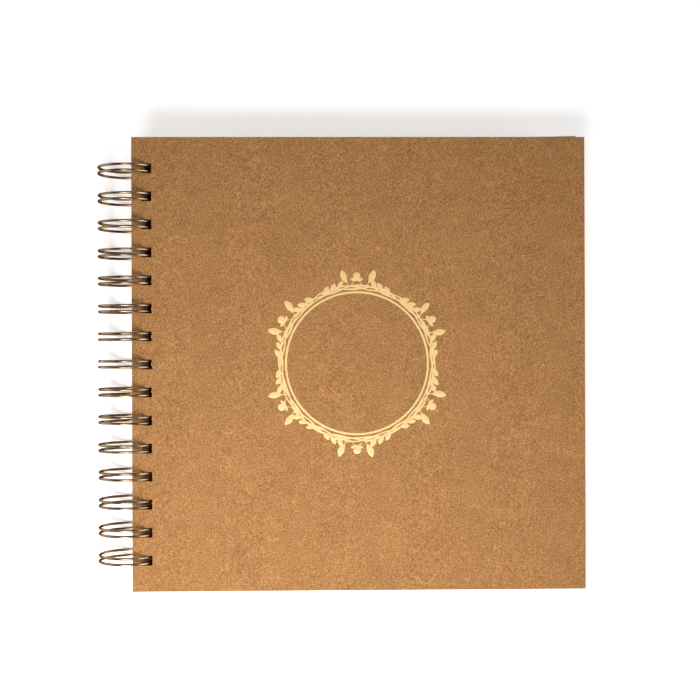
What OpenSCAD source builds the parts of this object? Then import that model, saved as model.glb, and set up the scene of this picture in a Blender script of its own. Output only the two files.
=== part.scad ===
// Square wire-bound scrapbook album with kraft covers, kraft leaves and a foil wreath.
// The album lies face up, spine towards -X, and rests on the plane z = 0.
// The origin is on that plane, below the middle of the whole album.

/* [Cover] */
// Side of each square cover board
cover_side = 206; // [205:0.5:212]
// Thickness of the grey board core of a cover
board_thick = 1.6; // [1.2:0.1:1.6]
// Thickness of the kraft paper glued on each face of a cover
paper_thick = 0.2; // [0.1:0.05:0.2]

/* [Pages] */
// Side of each square page
page_side = 202; // [198:0.5:204]
// Thickness of one kraft card page
page_thick = 0.43; // [0.3:0.01:0.43]
// Turn of the one page that sits crooked on the wire, in degrees
crooked_skew = 0.92; // [0:0.02:0.92]
// Largest turn of the other pages in their loose holes, in degrees
page_skew = 0.14; // [0:0.02:0.2]
// Largest slip of a page along the spine
page_slip = 0.16; // [0:0.02:0.25]

/* [Binding] */
// Diameter of the binding wire
wire_d = 1.1; // [0.9:0.05:1.1]
// Radius of the rings, at the middle of the wire
ring_r = 13.4; // [13.4:0.1:13.6]
// Distance between the two wires of one loop
loop_gap = 2.66; // [2.4:0.02:2.7]
// Side of the square punched holes
hole_side = 4.5; // [4.5:0.1:4.8]
// Distance from a sheet's spine edge to the middle of its holes
hole_inset = 6.75; // [6:0.05:7]

/* [Wreath] */
// Thickness of the foil
foil_thick = 0.06; // [0.04:0.01:0.1]
// Outer radius of the thin inner circle of the wreath
wreath_r = 32.7; // [28:0.1:40]
// Length of the large leaves of the wreath
wreath_leaf = 7.6; // [5:0.1:9]
// Radius of the buds of the wreath
bud_r = 1.7; // [1.2:0.1:1.9]

/* [Hidden] */
$fn = 96;
page_count = 30;
crooked_page = 5;
loop_count = 15;
// hole pitch of standard wire with two loops to the inch
loop_pitch = 12.7;
cover_thick = board_thick + 2 * paper_thick;

// ring axis, in a frame with x = 0 at the spine edge of the front cover
ring_x = -3.06;
ring_z = ring_r + wire_d / 2;

// angles on the ring where the round part of a loop starts and ends; beside its start are the straight
// wires that join the loops, and the end of the loop closes the ring against them
arc_start = -30.75;
arc_end = 313.75;
base_corner = 1;
deg_per_mm = 180 / (PI * ring_r);
stub_len = 3;
// stretches of wire meet inside beads and sleeves that are a little thicker than the wire
joint_d = wire_d * 1.04;
joint_cut = 0.1;
sleeve_len = 0.4;

// heights over the ring axis, measured on the line of the holes
front_low = 7.5;
pages_high = 7.4;
pages_low = -7.0;
back_high = -8.5;
page_pitch = (pages_high - pages_low) / page_count;
front_mid = front_low + cover_thick / 2;
back_mid = back_high - cover_thick / 2;

// the rings lift the spine, so every sheet slopes down to the fore-edge, where the pages fan out a little
fore_pitch = 0.525;
fore_gap = 0.05;
fore_run = cover_side - hole_inset;
fore_front_low = cover_thick + page_count * fore_pitch;
fore_pages_low = cover_thick + fore_gap;
back_tilt = asin((ring_z + back_mid - cover_thick / 2) / fore_run);
front_tilt = asin((ring_z + front_low - fore_front_low) / fore_run);
last_tilt = asin((ring_z + pages_low - fore_pages_low) / fore_run);

// the holes are wider than the wire, so the sheets can sit a little closer to the spine
front_shift = -0.55;
back_shift = -0.20;
page_shift = -1.05;

// steps of the settling pattern: turn and slip from one page to the next
skew_step = 137;
slip_step = 71;

// whole album moved so that its box is centred on the origin; the slope of the cover draws in its fore-edge
slope_draw = 0.03;
box_low_x = ring_x - ring_r - wire_d / 2;
box_high_x = cover_side - slope_draw;
centre_x = (box_low_x + box_high_x) / 2;

// the wreath is stamped a little off the middle of the cover, towards the spine and the head
wreath_x = cover_side / 2 - 1.05;
wreath_y = 0.25;
circle_line = 0.95;
stem_count = 3;
stem_line = 0.8;
stem_sway = 0.55;
stem_turn = 15;
stem_r = wreath_r + 2.5;
bud_reach = stem_r + 4.4;
bud_stalk = 0.4;
sepal_len = 2.7;
sepal_lean = 52;
cluster_count = 6;
// the foot of every leaf lies on the stems
leaf_foot_r = stem_r - 0.3;
// width of a leaf as a part of its length
large_leaf_shape = 0.36;
small_leaf_shape = 0.42;
sepal_shape = 0.4;
// turn of the large leaves from the bud and their lean from the outward direction
large_leaf_turn = 8.5;
large_leaf_lean = 22;
// turn of the small leaves from the middle between two clusters, their lean and length
small_leaves = [[3.5, 66, 4.8], [10.5, 58, 5.2], [17, 46, 5.8]];

kraft = [0.72, 0.53, 0.33];
kraft_page = [0.70, 0.52, 0.33];
grey_board = [0.55, 0.50, 0.44];
bronze = [0.32, 0.26, 0.17];
gold = [0.97, 0.82, 0.55];

function page_name(k) = str("page_", k < 10 ? "0" : "", k);
function loop_y(i) = (i - (loop_count - 1) / 2) * loop_pitch;
function ring_reach(h) = ring_x + sqrt(pow(ring_r, 2) - pow(h, 2));
function page_mid(k) = pages_high - (k - 0.5) * page_pitch;
function page_tilt(k) = front_tilt + (last_tilt - front_tilt) * k / page_count;
// sheets settle a little out of line, in a pattern that repeats only after many pages
function settle(k, step) = sin(k * step);

// a frame at an angle on the ring: x outward, y along the ring, z towards -Y
module on_ring(angle, y) {
  translate([ring_x - centre_x, y, ring_z])
    rotate([90, 0, 0])
      rotate([0, 0, angle])
        translate([ring_r, 0, 0])
          children();
}

// arc of wire that bends in the plane that touches the ring
module bend(radius, from, sweep) {
  rotate([0, 90, 0])
    rotate([0, 0, from])
      rotate_extrude(angle = sweep)
        translate([radius, 0])
          circle(d = wire_d);
}

module ring_wire(y) {
  translate([ring_x - centre_x, y, ring_z])
    rotate([90, 0, 0])
      rotate([0, 0, arc_start])
        rotate_extrude(angle = arc_end - arc_start - joint_cut * deg_per_mm)
          translate([ring_r, 0])
            circle(d = wire_d);
}

// round end of a loop, between two beads
module loop_tip(y) {
  side = loop_gap / 2;
  cut = joint_cut * 180 / (PI * side);
  on_ring(arc_end, y)
    bend(side, cut, 180 - 2 * cut);
  for (s = [-1, 1])
    on_ring(arc_end, y + s * side)
      sphere(d = joint_d);
}

module twin_loop(y) {
  side = loop_gap / 2;
  ring_wire(y - side);
  ring_wire(y + side);
  loop_tip(y);
  on_ring(arc_start, y + side + base_corner)
    bend(base_corner, 180, 90);
  on_ring(arc_start, y - side - base_corner)
    bend(base_corner, 270, 90);
}

// straight wire along the spine from a loop's corner, towards +Y or -Y
module base_wire(y, length, way) {
  on_ring(arc_start, y)
    translate([0, -base_corner, way > 0 ? -length : 0])
      cylinder(d = wire_d, h = length);
}

// sleeve in which the straight wires of two neighbouring loops meet
module base_sleeve(y) {
  on_ring(arc_start, y)
    translate([0, -base_corner, -sleeve_len / 2])
      cylinder(d = joint_d, h = sleeve_len);
}

module binding_wire() {
  $fn = 24;
  edge = loop_gap / 2 + base_corner;
  half = loop_pitch / 2 - edge - joint_cut;
  last = loop_count - 1;
  color(bronze)
    for (i = [0:last]) {
      twin_loop(loop_y(i));
      base_wire(loop_y(i) + edge, i < last ? half : stub_len, 1);
      base_wire(loop_y(i) - edge, i > 0 ? half : stub_len, -1);
      if (i < last)
        base_sleeve(loop_y(i) + loop_pitch / 2);
    }
}

// flat sheet with its middle height at z = 0 and its hole line on x = 0
module punched_sheet(side, thick) {
  difference() {
    translate([-hole_inset, -side / 2, -thick / 2])
      cube([side, side, thick]);
    for (i = [0:loop_count - 1])
      translate([0, loop_y(i), 0])
        cube([hole_side, hole_side, thick * 3], center = true);
  }
}

module in_front_cover() {
  translate([ring_reach(front_mid) + front_shift - centre_x, 0, ring_z + front_mid])
    rotate([0, front_tilt, 0])
      children();
}

module in_back_cover() {
  translate([ring_reach(back_mid) + back_shift - centre_x, 0, ring_z + back_mid])
    rotate([0, back_tilt, 0])
      children();
}

module front_face_paper() {
  color(kraft)
    in_front_cover()
      translate([0, 0, (board_thick + paper_thick) / 2])
        punched_sheet(cover_side, paper_thick);
}

module front_board() {
  color(grey_board)
    in_front_cover()
      punched_sheet(cover_side, board_thick);
}

module front_lining() {
  color(kraft)
    in_front_cover()
      translate([0, 0, -(board_thick + paper_thick) / 2])
        punched_sheet(cover_side, paper_thick);
}

module back_lining() {
  color(kraft)
    in_back_cover()
      translate([0, 0, (board_thick + paper_thick) / 2])
        punched_sheet(cover_side, paper_thick);
}

module back_board() {
  color(grey_board)
    in_back_cover()
      punched_sheet(cover_side, board_thick);
}

module back_face_paper() {
  color(kraft)
    in_back_cover()
      translate([0, 0, -(board_thick + paper_thick) / 2])
        punched_sheet(cover_side, paper_thick);
}

module page(k) {
  crooked = k == crooked_page;
  skew = crooked ? crooked_skew : page_skew * settle(k, skew_step);
  shift = crooked ? 0 : page_shift;
  slip = page_slip * settle(k, slip_step);
  color(kraft_page)
    translate([ring_reach(page_mid(k)) + shift - centre_x, slip, ring_z + page_mid(k)])
      rotate([0, page_tilt(k), 0])
        rotate([0, 0, skew])
          punched_sheet(page_side, page_thick);
}

// pointed leaf from its stem end at the origin, along +X
module leaf(length, width) {
  big = (pow(length, 2) + pow(width, 2)) / (4 * width);
  translate([length / 2, 0])
    intersection() {
      translate([0, big - width / 2])
        circle(r = big);
      translate([0, width / 2 - big])
        circle(r = big);
    }
}

module flat_ring(outer, line) {
  difference() {
    circle(r = outer);
    circle(r = outer - line);
  }
}

// bud on a short stalk with three sepals, between two long leaves, growing outward along +X
module cluster() {
  for (s = [-1, 1])
    rotate([0, 0, s * large_leaf_turn])
      translate([leaf_foot_r, 0])
        rotate([0, 0, s * large_leaf_lean])
          leaf(wreath_leaf, wreath_leaf * large_leaf_shape);
  translate([leaf_foot_r, -bud_stalk / 2])
    square([bud_reach - stem_r, bud_stalk]);
  for (s = [-1, 0, 1])
    translate([bud_reach - bud_r - bud_stalk, 0])
      rotate([0, 0, s * sepal_lean])
        leaf(sepal_len, sepal_len * sepal_shape);
  translate([bud_reach, 0])
    circle(r = bud_r);
}

// small leaves that lean along the stems on both sides of the middle between two clusters
module sprig() {
  for (s = [-1, 1])
    for (small = small_leaves)
      rotate([0, 0, s * small[0]])
        translate([leaf_foot_r, 0])
          rotate([0, 0, s * small[1]])
            leaf(small[2], small[2] * small_leaf_shape);
}

// stems of the wreath, each a thin circle a little off the centre, so that they cross
module stems() {
  for (i = [0:stem_count - 1])
    rotate([0, 0, stem_turn + i * 360 / stem_count])
      translate([stem_sway, 0])
        flat_ring(stem_r, stem_line);
}

module foil_wreath() {
  color(gold)
    in_front_cover()
      translate([wreath_x - hole_inset, wreath_y, cover_thick / 2])
        linear_extrude(foil_thick) {
          flat_ring(wreath_r, circle_line);
          stems();
          for (i = [0:cluster_count - 1]) {
            rotate([0, 0, (i + 0.5) * 360 / cluster_count])
              cluster();
            rotate([0, 0, i * 360 / cluster_count])
              sprig();
          }
        }
}

binding_wire();
front_face_paper();
front_board();
front_lining();
foil_wreath();
back_lining();
back_board();
back_face_paper();
for (k = [1:page_count])
  page(k);
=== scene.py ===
import math
import random

import bpy
from mathutils import Matrix, Vector


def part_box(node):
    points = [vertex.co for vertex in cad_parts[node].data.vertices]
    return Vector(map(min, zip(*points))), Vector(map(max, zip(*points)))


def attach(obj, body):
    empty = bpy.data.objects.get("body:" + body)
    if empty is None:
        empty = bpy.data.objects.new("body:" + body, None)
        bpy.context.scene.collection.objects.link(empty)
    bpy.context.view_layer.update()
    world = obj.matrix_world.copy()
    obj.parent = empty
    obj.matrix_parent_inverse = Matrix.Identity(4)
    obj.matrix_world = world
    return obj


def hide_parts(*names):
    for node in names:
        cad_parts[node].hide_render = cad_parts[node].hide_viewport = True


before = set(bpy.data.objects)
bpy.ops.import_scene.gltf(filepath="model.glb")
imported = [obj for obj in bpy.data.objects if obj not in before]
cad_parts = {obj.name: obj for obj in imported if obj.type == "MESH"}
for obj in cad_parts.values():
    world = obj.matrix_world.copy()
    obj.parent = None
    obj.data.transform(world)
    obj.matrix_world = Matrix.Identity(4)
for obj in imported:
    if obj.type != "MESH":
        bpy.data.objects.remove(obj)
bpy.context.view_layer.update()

MM = 0.001
seeded = random.Random(41)

# the binding: twin loops, two to the inch
LOOP_COUNT = 15
LOOP_PITCH = 12.7 * MM
# half the thickness of the wire
WIRE_R = 0.6 * MM
# radius of a ring along the middle of its wire, and of the CAD ring at its outside
RING_R = 13.4 * MM
RING_REACH = 13.95 * MM
# half the gap between the two rings of a loop
LOOP_SIDE = 1.33 * MM
# bend between a ring and the straight wire along the spine
BASE_CORNER = 1.0 * MM
# where a ring starts at the straight wire and where it ends in the round tip of its loop
ARC_START = math.radians(-30.75)
ARC_END = math.radians(313.75)
# steps along a ring, a bend and a tip
RING_STEPS = 72
BEND_STEPS = 6
TIP_STEPS = 14
# straight end of the wire past the outermost loops
STUB = 3.0 * MM
# how far the free part of a loop leans along the spine and stands out
LOOP_SWAY = 0.1 * MM
LOOP_SWELL = 0.06 * MM

# the sheets: side, inset and corner radius of their square holes
HOLE = 4.5 * MM
HOLE_INSET = 6.75 * MM
HOLE_CORNER = 0.28 * MM
CORNER_STEPS = 4
# margin of the net round a hole, and the size of its other cells
HOLE_MARGIN = 1.2 * MM
NET_STEP = 14 * MM
PAGE_COUNT = 30
PAGES = ["page_%02d" % k for k in range(1, PAGE_COUNT + 1)]
# height of the wave of a page, for each page between it and the nearest cover
PAGE_WAVE = 0.028 * MM
# softened edges: paper, greyboard and page card
PAPER_RIM = 0.07 * MM
BOARD_RIM = 0.05 * MM
PAGE_RIM = 0.06 * MM

# the wreath, seen from its own centre: radius and width of the plain circle and of the stems
CIRCLE_R = 32.25 * MM
CIRCLE_W = 0.93 * MM
STEM_COUNT = 3
STEM_R = 34.65 * MM
STEM_W = 0.78 * MM
# how far the stems wind in and out, and their smaller ripple
STEM_SWAY = 0.86 * MM
STEM_RIPPLE = 0.14 * MM
# a bud's distance and radius, its sepals' root below it, their length and width and their turns
BUD_R = 39.6 * MM
BUD_SIZE = 1.7 * MM
SEPAL_DROP = 2.3 * MM
SEPAL = (3.1 * MM, 1.25 * MM)
SEPAL_TURNS = (-66, -24, 22, 68)
# a bud's two stalks: height above the stems in millimetres and degrees beside the bud
BUD_STALK = ((0.4, 4.2), (1.9, 2.9), (3.2, 0.7))
BUD_STALK_W = 0.3 * MM
# a large leaf: length and width, stalk, degrees beside the bud and lean from the outward direction
LARGE_LEAF = (6.6 * MM, 2.9 * MM)
LARGE_STALK = 1.7 * MM
LARGE_STALK_W = 0.5 * MM
LARGE_BESIDE = math.radians(6.6)
LARGE_LEAN = math.radians(15)
# how far outside the stems' middle line a large leaf's stalk and a small leaf start
LARGE_ROOT = 0.3 * MM
SMALL_ROOT = 0.2 * MM
# thickness of the foil, the rise of its middle and the extra height of each of five layers
FOIL_Z = 0.05 * MM
FOIL_CROWN = 0.02 * MM
FOIL_LAYER = 0.004 * MM
FOIL_LAYERS = 5
# narrowest half width of a shape, and the widest soft edge
FOIL_TIP = 0.04 * MM
FOIL_EDGE = 0.12 * MM
# the wreath's centre from the middle of the cover
WREATH_OFF = (-1.05 * MM, 0.25 * MM)
# clusters of bud and leaves, and the direction of the first from the wreath's centre
CLUSTERS = 6
FIRST_CLUSTER = math.radians(30)
# small leaves between clusters: degrees from the middle, lean from the outward direction, length in mm
SMALL_LEAVES = ((3.2, 60, 4.6), (9.2, 52, 4.8), (14.8, 44, 5.0))

# colours
KRAFT_LIGHT = (0.435, 0.212, 0.077)
KRAFT_DARK = (0.325, 0.15, 0.049)
BOARD_DARK = (0.165, 0.128, 0.092)
BOARD_PALE = (0.285, 0.232, 0.174)
BOARD_FLECK = (0.12, 0.10, 0.08)
GOLD = (1.0, 0.715, 0.325)
GOLD_DEEP = (0.98, 0.68, 0.305)
GOLD_GRAIN = (0.96, 0.615, 0.245)
BRONZE = (0.24, 0.165, 0.1)
BRONZE_WORN = (0.46, 0.34, 0.215)
BRONZE_FLECK = (0.05, 0.026, 0.013)
BRONZE_EDGE = (0.16, 0.085, 0.04, 1.0)
FLOOR_WHITE = (0.90, 0.90, 0.90)
FLOOR_WHITER = (0.91, 0.91, 0.91)

# the studio: glow of the floor, and the surroundings far away, above the horizon, overhead and at the window
FLOOR_GLOW = 0.5
FAR_LIGHT = 0.88
HORIZON_LIGHT = 1.25
CEILING_LIGHT = 0.02
WINDOW_LIGHT = 3.2
SKY_COLOUR = (1.0, 0.99, 0.975, 1.0)
# the key panel: its place, what it faces, its size, power, colour and spread
KEY_PLACE = (-0.09, -0.31, 0.41)
KEY_TARGET = (-0.03, -0.08, 0)
KEY_SIZE = (0.34, 0.3)
KEY_POWER = 0.6
KEY_COLOUR = (1.0, 0.985, 0.965)
KEY_SPREAD = math.radians(71)
# half the floor's side, its cells to a side and how far it lies below the album
FLOOR_HALF = 3.0
FLOOR_CELLS = 6
FLOOR_DROP = 0.02 * MM
# the camera's height, its place from the middle of the front cover, and its turn
CAMERA_HIGH = 0.56
CAMERA_OFF = (-4.2 * MM, 6.2 * MM)
CAMERA_TURN = math.radians(-0.2)
CAMERA_LENS = 60.94
CAMERA_FILM = 36


# ---------------------------------------------------------------- helpers

def loop_y(i):
    """Place of a loop and its hole along the spine."""
    return (i - (LOOP_COUNT - 1) / 2) * LOOP_PITCH


def new_mesh(name, verts, faces, material):
    mesh = bpy.data.meshes.new(name)
    mesh.from_pydata([tuple(v) for v in verts], [], faces)
    mesh.validate()
    mesh.update()
    mesh.shade_smooth()
    mesh.materials.append(material)
    obj = bpy.data.objects.new(name, mesh)
    bpy.context.scene.collection.objects.link(obj)
    return obj


def sheet_frame(node):
    """A flat CAD sheet: the matrix at the middle of its hole line, its length, width and thickness."""
    verts = [v.co.copy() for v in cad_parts[node].data.vertices]

    def corner(sx, sy):
        ranked = sorted(verts, key=lambda v: -(sx * v.x + sy * v.y))
        best = ranked[0].x * sx + ranked[0].y * sy
        near = [v for v in ranked if best - (sx * v.x + sy * v.y) < 0.1 * MM]
        low = min(near, key=lambda v: v.z)
        high = max(near, key=lambda v: v.z)
        return low, high

    tail, tail_top = corner(-1, -1)
    head, _ = corner(-1, 1)
    fore, _ = corner(1, -1)
    along = (fore - tail).normalized()
    up = along.cross(head - tail).normalized()
    spine = up.cross(along)
    length, width, thick = (fore - tail).length, (head - tail).length, (tail_top - tail).length
    middle = tail + along * HOLE_INSET + spine * (width / 2) + up * (thick / 2)
    m = Matrix((along, spine, up)).transposed().to_4x4()
    m.translation = middle
    return m, length, width, thick


def even(a, b, step):
    """Evenly spaced values from a to b, about a step apart."""
    n = max(1, round((b - a) / step))
    return [a + (b - a) * i / n for i in range(n + 1)]


# ---------------------------------------------------------------- punched sheets

def hole_outline(y0):
    """Rounded square outline of a hole, anticlockwise from its +x +y corner."""
    half = HOLE / 2 - HOLE_CORNER
    points = []
    for q in range(4):
        cx = half if q in (0, 3) else -half
        cy = half if q in (0, 1) else -half
        for s in range(CORNER_STEPS + 1):
            a = math.pi / 2 * (q + s / CORNER_STEPS)
            points.append((cx + HOLE_CORNER * math.cos(a), y0 + cy + HOLE_CORNER * math.sin(a)))
    return points


def punched_net(length, width):
    """Flat net of a sheet with its holes left out: points and faces. x = 0 is the hole line."""
    cell = HOLE / 2 + HOLE_MARGIN
    xs = [-HOLE_INSET, -cell, cell] + even(cell, length - HOLE_INSET, NET_STEP)[1:]
    ys = [-width / 2]
    for i in range(LOOP_COUNT):
        ys += [loop_y(i) - cell, loop_y(i) + cell]
    ys.append(width / 2)
    ys = [ys[0], (ys[0] + ys[1]) / 2] + ys[1:-1] + [(ys[-2] + ys[-1]) / 2, ys[-1]]
    points, faces, index = [], [], {}

    def at(i, j):
        if (i, j) not in index:
            index[i, j] = len(points)
            points.append((xs[i], ys[j]))
        return index[i, j]

    holed = {j for j in range(len(ys) - 1)
             if any(abs((ys[j] + ys[j + 1]) / 2 - loop_y(k)) < 0.1 * MM for k in range(LOOP_COUNT))}
    ring = CORNER_STEPS + 1
    for i in range(len(xs) - 1):
        for j in range(len(ys) - 1):
            a, b, c, d = at(i, j), at(i + 1, j), at(i + 1, j + 1), at(i, j + 1)
            if not (i == 1 and j in holed):
                faces.append((a, b, c, d))
                continue
            first = len(points)
            points.extend(hole_outline((ys[j] + ys[j + 1]) / 2))
            outer = [c, d, a, b]
            for q in range(4):
                for s in range(CORNER_STEPS):
                    faces.append((outer[q], first + q * ring + s + 1, first + q * ring + s))
                after = (q + 1) % 4
                faces.append((outer[q], outer[after], first + after * ring, first + q * ring + CORNER_STEPS))
    return points, faces


def sheet_wave(x, y, length, width):
    """Shape of the gentle wave in a card page, 0 along the holes and at most about 1."""
    u = max(0.0, x / length)
    v = y / width
    ease = u * u * (3 - 2 * u)
    ripple = 0.3 * math.sin(9.1 * v + 3.0 * u) + 0.25 * math.sin(6.0 * u)
    return ease * (0.62 * math.sin(5.3 * v + 1.1) + ripple)


def punched_sheet(name, node, body, material, rim, wave=0.0):
    """A sheet that stands for a CAD sheet: punched, with soft cut edges."""
    m, length, width, thick = sheet_frame(node)
    points, faces = punched_net(length, width)
    verts = []
    for x, y in points:
        z = wave * sheet_wave(x, y, length, width)
        verts.append(m @ Vector((x, y, z)))
    obj = new_mesh(name, verts, faces, material)
    solid = obj.modifiers.new("thickness", "SOLIDIFY")
    solid.thickness = thick
    solid.offset = 0
    soft = obj.modifiers.new("cut_edge", "BEVEL")
    soft.width = rim
    soft.segments = 2
    soft.limit_method = "ANGLE"
    soft.angle_limit = math.radians(50)
    soft.harden_normals = True
    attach(obj, body)
    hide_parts(node)


# ---------------------------------------------------------------- binding wire

def wire_path(axis):
    """Points along the middle of the one continuous wire, from its -Y end to its +Y end."""

    def ring_point(angle, along, y):
        x = axis.x + RING_R * math.cos(angle) - along * math.sin(angle)
        z = axis.z + RING_R * math.sin(angle) + along * math.cos(angle)
        return Vector((x, y, z))

    path = []
    for i in range(LOOP_COUNT):
        y0 = loop_y(i)
        sway = LOOP_SWAY * math.sin(2.7 * i + 0.6)
        swell = LOOP_SWELL * math.sin(1.9 * i)

        def loop_point(t, side):
            a = ARC_START + (ARC_END - ARC_START) * t
            free = math.sin(math.pi * t) ** 2
            p = ring_point(a, 0, y0 + side + sway * free)
            out = Vector((math.cos(a), 0, math.sin(a)))
            return p + out * (swell * free)

        straight = STUB if i == 0 else LOOP_PITCH / 2 - LOOP_SIDE - BASE_CORNER
        path.append(ring_point(ARC_START, -BASE_CORNER, y0 - LOOP_SIDE - BASE_CORNER - straight))
        for s in range(BEND_STEPS + 1):
            a = math.pi / 2 * s / BEND_STEPS
            path.append(ring_point(ARC_START, -BASE_CORNER * math.cos(a),
                                   y0 - LOOP_SIDE - BASE_CORNER + BASE_CORNER * math.sin(a)))
        for s in range(1, RING_STEPS + 1):
            path.append(loop_point(s / RING_STEPS, -LOOP_SIDE))
        for s in range(1, TIP_STEPS):
            a = math.pi * s / TIP_STEPS
            path.append(ring_point(ARC_END, LOOP_SIDE * math.sin(a), y0 - LOOP_SIDE * math.cos(a)))
        for s in range(RING_STEPS, -1, -1):
            path.append(loop_point(s / RING_STEPS, LOOP_SIDE))
        for s in range(1, BEND_STEPS + 1):
            a = math.pi / 2 * s / BEND_STEPS
            path.append(ring_point(ARC_START, -BASE_CORNER * math.sin(a),
                                   y0 + LOOP_SIDE + BASE_CORNER - BASE_CORNER * math.cos(a)))
    path.append(ring_point(ARC_START, -BASE_CORNER, loop_y(LOOP_COUNT - 1) + LOOP_SIDE + BASE_CORNER + STUB))
    return path


def tube(name, path, radius, material, sides=16):
    """Round tube along a path, narrowed at its nipped ends."""
    tangents = []
    for i, p in enumerate(path):
        a = path[max(0, i - 1)]
        b = path[min(len(path) - 1, i + 1)]
        tangents.append((b - a).normalized())
    normal = tangents[0].orthogonal().normalized()
    rings = []
    for i, p in enumerate(path):
        if i:
            normal = tangents[i - 1].rotation_difference(tangents[i]) @ normal
        normal = (normal - tangents[i] * normal.dot(tangents[i])).normalized()
        rings.append((p, tangents[i], normal.copy(), radius))
    first, last = rings[0], rings[-1]
    nip, narrow = 0.25 * radius, 0.75 * radius
    rings.insert(0, (first[0] - first[1] * nip, first[1], first[2], narrow))
    rings.append((last[0] + last[1] * nip, last[1], last[2], narrow))
    verts, faces = [], []
    for p, t, n, r in rings:
        side = t.cross(n)
        for s in range(sides):
            a = 2 * math.pi * s / sides
            verts.append(p + (n * math.cos(a) + side * math.sin(a)) * r)
    for i in range(len(rings) - 1):
        for s in range(sides):
            a, b = i * sides + s, i * sides + (s + 1) % sides
            faces.append((a, b, b + sides, a + sides))
    faces.append(tuple(range(sides - 1, -1, -1)))
    faces.append(tuple(range(len(verts) - sides, len(verts))))
    return new_mesh(name, verts, faces, material)


# ---------------------------------------------------------------- foil wreath

class Foil:
    """Collects flat foil shapes, each a closed thin slab with a slightly crowned middle."""

    def __init__(self):
        self.verts = []
        self.faces = []
        self.layer = 0

    def strip(self, rows, closed=False, crown=FOIL_CROWN):
        """One slab from rows, the pairs of left and right points along a shape."""
        lift = FOIL_Z + FOIL_LAYER * (self.layer % FOIL_LAYERS)
        self.layer += 1
        base = len(self.verts)
        for left, right in rows:
            width = math.dist(left, right)
            soft = min(FOIL_EDGE, width * 0.2) / width
            # section of the slab: part of its width from the left, part of its height
            profile = ((0.0, 0.0), (0.0, 0.7), (soft, 1.0), (0.5, 1.0),
                       (1 - soft, 1.0), (1.0, 0.7), (1.0, 0.0))
            for f, h in profile:
                x = left[0] + (right[0] - left[0]) * f
                y = left[1] + (right[1] - left[1]) * f
                z = lift * h + (crown if f == 0.5 else 0.0)
                self.verts.append((x, y, z))
        n, per = len(rows), len(profile)
        for i in range(n if closed else n - 1):
            j = (i + 1) % n
            for q in range(per - 1):
                a, b = base + i * per + q, base + j * per + q
                self.faces.append((a, a + 1, b + 1, b))
            a, b = base + i * per, base + j * per
            self.faces.append((a, b, b + per - 1, a + per - 1))
        if not closed:
            self.faces.append(tuple(base + q for q in range(per - 1, -1, -1)))
            self.faces.append(tuple(base + (n - 1) * per + q for q in range(per)))

    def ring(self, radius, width, steps=240):
        """A band round the centre, its radius and width functions of the angle."""
        rows = []
        for s in range(steps):
            a = 2 * math.pi * s / steps
            r, w = radius(a), width(a) / 2
            rows.append((((r + w) * math.cos(a), (r + w) * math.sin(a)),
                         ((r - w) * math.cos(a), (r - w) * math.sin(a))))
        self.strip(rows, closed=True, crown=FOIL_CROWN / 2)

    def blade(self, root, heading, length, width, bend=0.0, fat=0.5, steps=12):
        """A leaf: root point, heading, with a bent middle line and its widest place at fat."""
        rows = []
        x, y = root
        for s in range(steps + 1):
            t = s / steps
            a = heading + bend * (t - 0.5)
            grow = math.sin(math.pi * min(1.0, t ** (math.log(0.5) / math.log(fat)))) ** 0.8
            w = max(width * grow / 2, FOIL_TIP)
            nx, ny = -math.sin(a), math.cos(a)
            rows.append(((x + nx * w, y + ny * w), (x - nx * w, y - ny * w)))
            x += math.cos(a) * length / steps
            y += math.sin(a) * length / steps
        self.strip(rows)

    def disc(self, centre, radius, steps=18):
        """A round spot."""
        rows = []
        for s in range(steps + 1):
            t = math.pi * s / steps
            w = max(radius * math.sin(t), FOIL_TIP)
            x = centre[0] - radius * math.cos(t)
            rows.append(((x, centre[1] + w), (x, centre[1] - w)))
        self.strip(rows, crown=FOIL_CROWN * 1.5)

    def thread(self, points, width):
        """A thin bent line through a few points."""
        rows = []
        n = len(points)
        for i, (x, y) in enumerate(points):
            xa, ya = points[max(0, i - 1)]
            xb, yb = points[min(n - 1, i + 1)]
            a = math.atan2(yb - ya, xb - xa)
            w = width / 2
            nx, ny = -math.sin(a), math.cos(a)
            rows.append(((x + nx * w, y + ny * w), (x - nx * w, y - ny * w)))
        self.strip(rows, crown=0.0)


def polar(radius, angle):
    """A point at a radius and angle from the wreath's centre."""
    return (radius * math.cos(angle), radius * math.sin(angle))


def stems(foil):
    """Three thin stems that wind round each other, with narrow gaps where they part."""
    for k in range(STEM_COUNT):
        phase = 2 * math.pi * k / STEM_COUNT

        def radius(a):
            return STEM_R + STEM_SWAY * math.sin(8 * a + phase) + STEM_RIPPLE * math.sin(21 * a + 2 * phase)

        def width(a):
            return STEM_W * (1 + 0.28 * math.sin(17 * a + 3 * phase))

        foil.ring(radius, width, steps=320)


def leaf_on_stalk(foil, at, lean, stalk, length, width, side):
    """A long leaf on a thin bent stalk that leaves the stems."""
    root = polar(STEM_R + LARGE_ROOT, at)
    heading = at + side * lean
    bent = at + side * lean * 1.5
    mid = (root[0] + math.cos(bent) * stalk * 0.55, root[1] + math.sin(bent) * stalk * 0.55)
    tip = (mid[0] + math.cos(heading) * stalk * 0.55, mid[1] + math.sin(heading) * stalk * 0.55)
    foil.thread([root, mid, tip], LARGE_STALK_W)
    foil.blade(tip, heading, length, width, bend=-side * 0.5, fat=0.55)


def bud_with_sepals(foil, here, lean):
    """A round bud with small sepals, on two thin stalks that lean together."""
    for side in (-1, 1):
        stalk = [polar(STEM_R + high * MM, here + side * math.radians(beside))
                 for high, beside in BUD_STALK]
        foil.thread(stalk, BUD_STALK_W)
    foil.disc(polar(BUD_R, here), BUD_SIZE)
    for turn in SEPAL_TURNS:
        foil.blade(polar(BUD_R - SEPAL_DROP, here), here + math.radians(turn) + lean, *SEPAL, fat=0.6)


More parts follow.
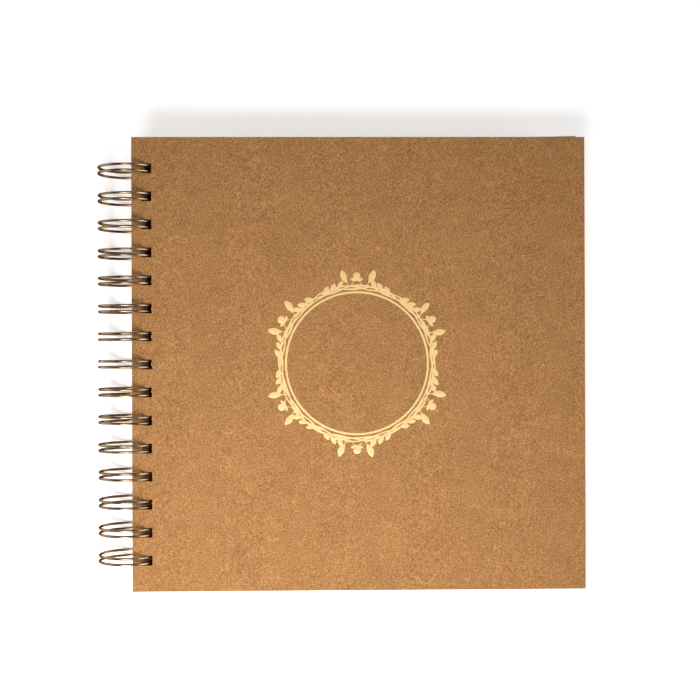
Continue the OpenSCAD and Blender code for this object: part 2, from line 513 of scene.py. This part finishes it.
def wreath_shapes():
    """The plain circle, the stems round it and the clusters of buds and leaves on them."""
    foil = Foil()
    foil.ring(lambda a: CIRCLE_R, lambda a: CIRCLE_W * (1 + 0.05 * math.sin(5 * a)))
    stems(foil)
    for i in range(CLUSTERS):
        here = FIRST_CLUSTER + 2 * math.pi * i / CLUSTERS
        lean = seeded.uniform(-0.06, 0.06)
        bud_with_sepals(foil, here, lean)
        for side in (-1, 1):
            grow = seeded.uniform(0.95, 1.06)
            leaf_on_stalk(foil, here + side * LARGE_BESIDE + lean * 0.3, LARGE_LEAN, LARGE_STALK,
                          LARGE_LEAF[0] * grow, LARGE_LEAF[1] * grow, side)
        middle = here + math.pi / CLUSTERS
        for side in (-1, 1):
            for turn, out, size in SMALL_LEAVES:
                at = middle + side * math.radians(turn)
                grow = size * MM * seeded.uniform(0.92, 1.1)
                heading = at + side * math.radians(out + seeded.uniform(-5, 5))
                root = polar(STEM_R + SMALL_ROOT, at)
                foil.blade(root, heading, grow, grow * 0.45, bend=-side * 0.45, fat=0.58)
    return foil


def foil_wreath(material):
    """The stamped foil, lying on the front cover."""
    m, length, _, thick = sheet_frame("front_face_paper")
    foil = wreath_shapes()
    centre = Vector((length / 2 - HOLE_INSET + WREATH_OFF[0], WREATH_OFF[1], thick / 2))
    verts = [m @ (centre + Vector(v)) for v in foil.verts]
    obj = new_mesh("foil_wreath_art", verts, foil.faces, material)
    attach(obj, "front_cover")
    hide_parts("foil_wreath")


# ---------------------------------------------------------------- materials

class Nodes:
    """One material and short ways to add its shader nodes."""

    def __init__(self, name):
        self.material = bpy.data.materials.new(name)
        self.material.use_nodes = True
        self.tree = self.material.node_tree
        self.tree.nodes.clear()
        self.out = self.tree.nodes.new("ShaderNodeOutputMaterial")
        self.shader = self.tree.nodes.new("ShaderNodeBsdfPrincipled")
        self.tree.links.new(self.shader.outputs[0], self.out.inputs[0])
        self.coords = self.tree.nodes.new("ShaderNodeTexCoord").outputs["Object"]

    def link(self, a, b):
        self.tree.links.new(a, b)

    def mapped(self, scale, angle=(0, 0, 0)):
        n = self.tree.nodes.new("ShaderNodeMapping")
        n.inputs["Scale"].default_value = scale
        n.inputs["Rotation"].default_value = [math.radians(a) for a in angle]
        self.link(self.coords, n.inputs["Vector"])
        return n.outputs[0]

    def noise(self, vector, scale, detail=3.0, rough=0.55):
        n = self.tree.nodes.new("ShaderNodeTexNoise")
        self.link(vector, n.inputs["Vector"])
        n.inputs["Scale"].default_value = scale
        n.inputs["Detail"].default_value = detail
        n.inputs["Roughness"].default_value = rough
        return n.outputs["Fac"]

    def span(self, value, low, high, to_low=0.0, to_high=1.0):
        n = self.tree.nodes.new("ShaderNodeMapRange")
        self.link(value, n.inputs["Value"])
        n.inputs["From Min"].default_value = low
        n.inputs["From Max"].default_value = high
        n.inputs["To Min"].default_value = to_low
        n.inputs["To Max"].default_value = to_high
        return n.outputs[0]

    def math(self, kind, a, b):
        n = self.tree.nodes.new("ShaderNodeMath")
        n.operation = kind
        for socket, v in zip(n.inputs, (a, b)):
            if isinstance(v, (int, float)):
                socket.default_value = v
            else:
                self.link(v, socket)
        return n.outputs[0]

    def mix(self, factor, a, b):
        n = self.tree.nodes.new("ShaderNodeMix")
        n.data_type = "RGBA"
        if isinstance(factor, (int, float)):
            n.inputs[0].default_value = factor
        else:
            self.link(factor, n.inputs[0])
        for socket, v in ((n.inputs[6], a), (n.inputs[7], b)):
            if isinstance(v, (tuple, list)):
                socket.default_value = (*v, 1.0)
            else:
                self.link(v, socket)
        return n.outputs[2]

    def bump(self, height, distance, strength):
        n = self.tree.nodes.new("ShaderNodeBump")
        n.inputs["Distance"].default_value = distance
        n.inputs["Strength"].default_value = strength
        self.link(height, n.inputs["Height"])
        self.link(n.outputs[0], self.shader.inputs["Normal"])


def specks(nodes, scale, size):
    """Small round flecks scattered through the pulp: 1 inside a fleck."""
    n = nodes.tree.nodes.new("ShaderNodeTexVoronoi")
    n.inputs["Scale"].default_value = scale
    n.inputs["Randomness"].default_value = 1.0
    nodes.link(nodes.coords, n.inputs["Vector"])
    ragged = nodes.math("MULTIPLY", nodes.noise(nodes.coords, scale * 6, 2.0, 0.6), 2 * size)
    inside = nodes.math("ADD", n.outputs["Distance"], ragged)
    return nodes.span(inside, 1.2 * size, 1.6 * size, 1.0, 0.0)


def fibres(nodes, scale, width, sparse):
    """Short thin bent fibres: 1 on a fibre, 0 beside it."""
    bent = nodes.tree.nodes.new("ShaderNodeTexNoise")
    bent.inputs["Scale"].default_value = scale * 1.7
    nodes.link(nodes.coords, bent.inputs["Vector"])
    shift = nodes.tree.nodes.new("ShaderNodeVectorMath")
    shift.operation = "MULTIPLY_ADD"
    nodes.link(bent.outputs["Color"], shift.inputs[0])
    shift.inputs[1].default_value = (0.9 / scale,) * 3
    nodes.link(nodes.coords, shift.inputs[2])
    cells = nodes.tree.nodes.new("ShaderNodeTexVoronoi")
    cells.feature = "DISTANCE_TO_EDGE"
    cells.inputs["Scale"].default_value = scale
    nodes.link(shift.outputs[0], cells.inputs["Vector"])
    line = nodes.span(cells.outputs["Distance"], width * scale * 0.4, width * scale, 1.0, 0.0)
    part = nodes.span(nodes.noise(nodes.coords, scale * 1.1, 1.0, 0.4), sparse, sparse + 0.05)
    return nodes.math("MULTIPLY", line, part)


def shade(colour, factor):
    """A colour made lighter or darker."""
    return tuple(min(1.0, c * factor) for c in colour)


def kraft_material(name, tone=1.0):
    """Kraft card: brown pulp, clouded and finely mottled, with thin fibres, flecks and a few specks."""
    n = Nodes(name)
    light = shade(KRAFT_LIGHT, tone)
    dark = shade(KRAFT_DARK, tone)
    cloud = n.noise(n.coords, 70, 5.0, 0.7)
    hue = n.noise(n.mapped((1.0, 1.0, 1.0), (0, 0, 35)), 110, 3.0, 0.6)
    mottle = n.noise(n.coords, 380, 4.0, 0.75)
    grain = n.noise(n.coords, 1350, 4.0, 0.8)
    fine = n.noise(n.coords, 3000, 2.0, 0.6)
    tint = n.math("ADD", n.span(cloud, 0.25, 0.75, -0.75, 0.75), n.span(mottle, 0.3, 0.7, 0.0, 1.0))
    base = n.mix(tint, dark, light)
    yellower = tuple(c * t for c, t in zip(light, (0.93, 0.99, 0.88)))
    base = n.mix(n.span(hue, 0.35, 0.65, 0.0, 0.5), base, yellower)
    base = n.mix(n.span(grain, 0.5, 0.64, 0.0, 0.85), base, shade(light, 1.5))
    base = n.mix(n.span(grain, 0.5, 0.36, 0.0, 0.85), base, shade(dark, 0.48))
    base = n.mix(n.span(fine, 0.52, 0.7, 0.0, 0.5), base, shade(light, 1.4))
    base = n.mix(n.span(fine, 0.48, 0.3, 0.0, 0.5), base, shade(dark, 0.58))
    pale = fibres(n, 165, 0.2 * MM, 0.57)
    base = n.mix(n.math("MULTIPLY", pale, 0.38), base, shade(light, 1.75))
    base = n.mix(n.math("MULTIPLY", fibres(n, 210, 0.16 * MM, 0.6), 0.34), base, shade(dark, 0.5))
    base = n.mix(n.math("MULTIPLY", specks(n, 240, 0.075), 0.7), base, shade(dark, 0.25))
    base = n.mix(n.math("MULTIPLY", specks(n, 410, 0.08), 0.5), base, shade(light, 1.7))
    n.link(base, n.shader.inputs["Base Color"])
    n.shader.inputs["Roughness"].default_value = 0.8
    n.shader.inputs["Specular IOR Level"].default_value = 0.25
    pulp = n.math("ADD", grain, n.math("MULTIPLY", mottle, 0.7))
    n.bump(n.math("ADD", pulp, n.math("MULTIPLY", pale, 0.3)), 0.05 * MM, 0.4)
    return n.material


def board_material(name):
    """Raw greyboard edge: grey-brown layered pulp with dark flecks."""
    n = Nodes(name)
    layers = n.noise(n.mapped((1.0, 1.0, 26.0)), 140, 3.0, 0.6)
    flecks = n.noise(n.coords, 1500, 2.0, 0.6)
    base = n.mix(n.span(layers, 0.3, 0.7), BOARD_DARK, BOARD_PALE)
    base = n.mix(n.span(flecks, 0.55, 0.75, 0.0, 0.6), base, BOARD_FLECK)
    n.link(base, n.shader.inputs["Base Color"])
    n.shader.inputs["Roughness"].default_value = 0.92
    n.bump(n.math("ADD", layers, flecks), 0.08 * MM, 0.7)
    return n.material


def foil_material(name):
    """Pale gold stamped foil: satin metal over the fibres of the card."""
    n = Nodes(name)
    drift = n.noise(n.coords, 30, 2.0, 0.5)
    grain = n.noise(n.coords, 900, 3.0, 0.6)
    base = n.mix(n.span(drift, 0.3, 0.7), GOLD, GOLD_DEEP)
    base = n.mix(n.span(grain, 0.4, 0.7, 0.0, 0.4), base, GOLD_GRAIN)
    n.link(base, n.shader.inputs["Base Color"])
    n.shader.inputs["Metallic"].default_value = 0.2
    n.link(n.span(grain, 0.3, 0.7, 0.3, 0.46), n.shader.inputs["Roughness"])
    n.bump(grain, 0.03 * MM, 0.35)
    return n.material


def wire_material(name):
    """Antique bronze lacquer on drawn wire: dark brown, with a brighter brass tone where it is worn."""
    n = Nodes(name)
    drift = n.noise(n.coords, 160, 3.0, 0.6)
    fine = n.noise(n.coords, 1800, 2.0, 0.6)
    base = n.mix(n.span(drift, 0.35, 0.65), BRONZE, BRONZE_WORN)
    base = n.mix(n.span(fine, 0.6, 0.78, 0.0, 0.5), base, BRONZE_FLECK)
    n.link(base, n.shader.inputs["Base Color"])
    n.shader.inputs["Metallic"].default_value = 1.0
    n.link(n.span(drift, 0.3, 0.7, 0.16, 0.26), n.shader.inputs["Roughness"])
    n.shader.inputs["Specular Tint"].default_value = BRONZE_EDGE
    n.bump(fine, 0.02 * MM, 0.15)
    return n.material


def floor_material():
    """Pale floor, faintly lit from below like a light table."""
    n = Nodes("studio_floor")
    soft = n.noise(n.coords, 3, 2.0, 0.5)
    base = n.mix(n.span(soft, 0.3, 0.7), FLOOR_WHITE, FLOOR_WHITER)
    n.link(base, n.shader.inputs["Base Color"])
    n.shader.inputs["Roughness"].default_value = 0.9
    n.shader.inputs["Emission Color"].default_value = (1.0, 1.0, 1.0, 1.0)
    n.shader.inputs["Emission Strength"].default_value = FLOOR_GLOW
    return n.material


# ---------------------------------------------------------------- studio

def studio_floor():
    """A wide plain floor, far larger than any opened pose."""
    row = FLOOR_CELLS + 1
    verts = [(FLOOR_HALF * (2 * i / FLOOR_CELLS - 1), FLOOR_HALF * (2 * j / FLOOR_CELLS - 1), 0.0)
             for j in range(row) for i in range(row)]
    faces = [(j * row + i, j * row + i + 1, (j + 1) * row + i + 1, (j + 1) * row + i)
             for j in range(FLOOR_CELLS) for i in range(FLOOR_CELLS)]
    floor = new_mesh("studio_floor", verts, faces, floor_material())
    floor.location.z = -FLOOR_DROP


def area_light(name, position, target, size, power, colour, spread):
    """A rectangular panel that looks at a target and isn't seen itself."""
    data = bpy.data.lights.new(name, "AREA")
    data.shape = "RECTANGLE"
    data.size, data.size_y = size
    data.energy = power
    data.color = colour
    data.spread = spread
    obj = bpy.data.objects.new(name, data)
    obj.location = position
    obj.rotation_euler = (Vector(target) - Vector(position)).to_track_quat("-Z", "Y").to_euler()
    obj.visible_camera = False
    bpy.context.scene.collection.objects.link(obj)


def studio_world():
    """Soft surroundings: a pale horizon, a dark ceiling and a bright window on the fore-edge side."""
    world = bpy.data.worlds.new("studio")
    bpy.context.scene.world = world
    world.use_nodes = True
    tree = world.node_tree
    coords = tree.nodes.new("ShaderNodeTexCoord")
    axes = tree.nodes.new("ShaderNodeSeparateXYZ")
    tree.links.new(coords.outputs["Generated"], axes.inputs[0])

    def join(kind, a, b):
        n = tree.nodes.new("ShaderNodeMath")
        n.operation = kind
        tree.links.new(a, n.inputs[0])
        tree.links.new(b, n.inputs[1])
        return n.outputs[0]

    def ramp(value, start, end, low, high):
        n = tree.nodes.new("ShaderNodeMapRange")
        n.interpolation_type = "SMOOTHSTEP"
        tree.links.new(value, n.inputs["Value"])
        for name, setting in (("From Min", start), ("From Max", end), ("To Min", low), ("To Max", high)):
            n.inputs[name].default_value = setting
        return n.outputs[0]

    sideways = join("MULTIPLY", axes.outputs["Y"], axes.outputs["Y"])
    sky = join("MINIMUM", ramp(axes.outputs["Z"], 0.05, 0.2, FAR_LIGHT, HORIZON_LIGHT),
               ramp(axes.outputs["Z"], 0.2, 0.58, HORIZON_LIGHT, CEILING_LIGHT))
    window = join("MULTIPLY", ramp(axes.outputs["X"], 0.62, 0.8, 0.0, WINDOW_LIGHT),
                  join("MULTIPLY", ramp(sideways, 0.12, 0.26, 1.0, 0.0),
                       ramp(axes.outputs["Z"], 0.15, 0.3, 0.0, 1.0)))
    total = join("MAXIMUM", sky, window)
    background = tree.nodes["Background"]
    background.inputs["Color"].default_value = SKY_COLOUR
    tree.links.new(total, background.inputs["Strength"])


def studio_lights():
    """A soft key near the lower left of the album, so that the cover darkens towards its upper right."""
    area_light("key_light", KEY_PLACE, KEY_TARGET, KEY_SIZE, KEY_POWER, KEY_COLOUR, KEY_SPREAD)


def studio_camera():
    """Straight above the album, as the picture was taken, with plain colours."""
    cover_low, cover_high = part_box("front_face_paper")
    cover = (cover_low + cover_high) / 2
    data = bpy.data.cameras.new("camera")
    data.lens = CAMERA_LENS
    data.sensor_width = CAMERA_FILM
    obj = bpy.data.objects.new("camera", data)
    obj.location = (cover.x + CAMERA_OFF[0], cover.y + CAMERA_OFF[1], CAMERA_HIGH)
    obj.rotation_euler = (0, 0, CAMERA_TURN)
    bpy.context.scene.collection.objects.link(obj)
    bpy.context.scene.camera = obj
    bpy.context.scene.view_settings.view_transform = "Standard"


# ---------------------------------------------------------------- the album

def covers(kraft, kraft_inner, board):
    """Two covers of three layers each."""
    for side in ("front", "back"):
        body = side + "_cover"
        punched_sheet(side + "_cover_face", side + "_face_paper", body, kraft, PAPER_RIM)
        punched_sheet(side + "_cover_core", side + "_board", body, board, BOARD_RIM)
        punched_sheet(side + "_cover_lining", side + "_lining", body, kraft_inner, PAPER_RIM)


def pages(material):
    """Thirty card pages, flat at the covers and faintly waved in between."""
    for k, node in enumerate(PAGES, 1):
        wave = PAGE_WAVE * min(k - 1, PAGE_COUNT - k)
        punched_sheet(node + "_card", node, node, material, PAGE_RIM, wave=wave)


def binding(material):
    """The wire, with its rings about the axis of the CAD rings."""
    low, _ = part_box("binding_wire")
    axis = Vector((low.x + RING_REACH, 0, low.z + RING_REACH))
    wire = tube("twin_loop_wire", wire_path(axis), WIRE_R, material)
    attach(wire, "binding")
    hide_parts("binding_wire")


kraft = kraft_material("cover_kraft")
kraft_inner = kraft_material("lining_kraft", tone=1.04)
page_kraft = kraft_material("page_kraft", tone=0.97)

covers(kraft, kraft_inner, board_material("greyboard"))
pages(page_kraft)
binding(wire_material("antique_bronze"))
foil_wreath(foil_material("gold_foil"))

studio_floor()
studio_world()
studio_lights()
studio_camera()
